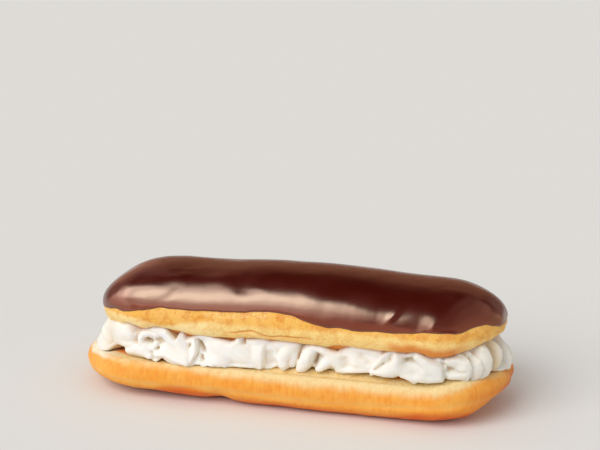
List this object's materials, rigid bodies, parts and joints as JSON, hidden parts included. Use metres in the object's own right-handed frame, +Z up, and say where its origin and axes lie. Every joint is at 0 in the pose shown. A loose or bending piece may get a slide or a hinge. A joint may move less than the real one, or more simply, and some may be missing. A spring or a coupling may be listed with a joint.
{
  "type": "eclair doughnut",
  "caption": "Long doughnut finger split along its middle, filled with a band of piped whipped cream and topped with a smooth glossy skin of chocolate icing.",
  "frame": {"origin": "middle of the underside, on the surface that the eclair lies on", "axes": "+X along the eclair to its right end, -Y towards its front, +Z up through the icing"},
  "size_m": [0.15, 0.0568, 0.0421],
  "materials": {
    "fried_dough": "golden fried crust, deeper orange low on the side, with a pale cut rim",
    "whipped_cream": "soft satin",
    "lid_dough": "paler fried crust with fine pits under the icing",
    "chocolate": "smooth gloss"
  },
  "bodies": {
    "root": {"bottom_half": "fried_dough", "cream_filling": "whipped_cream", "top_half": "lid_dough", "chocolate_icing": "chocolate"}
  },
  "joints": []
}
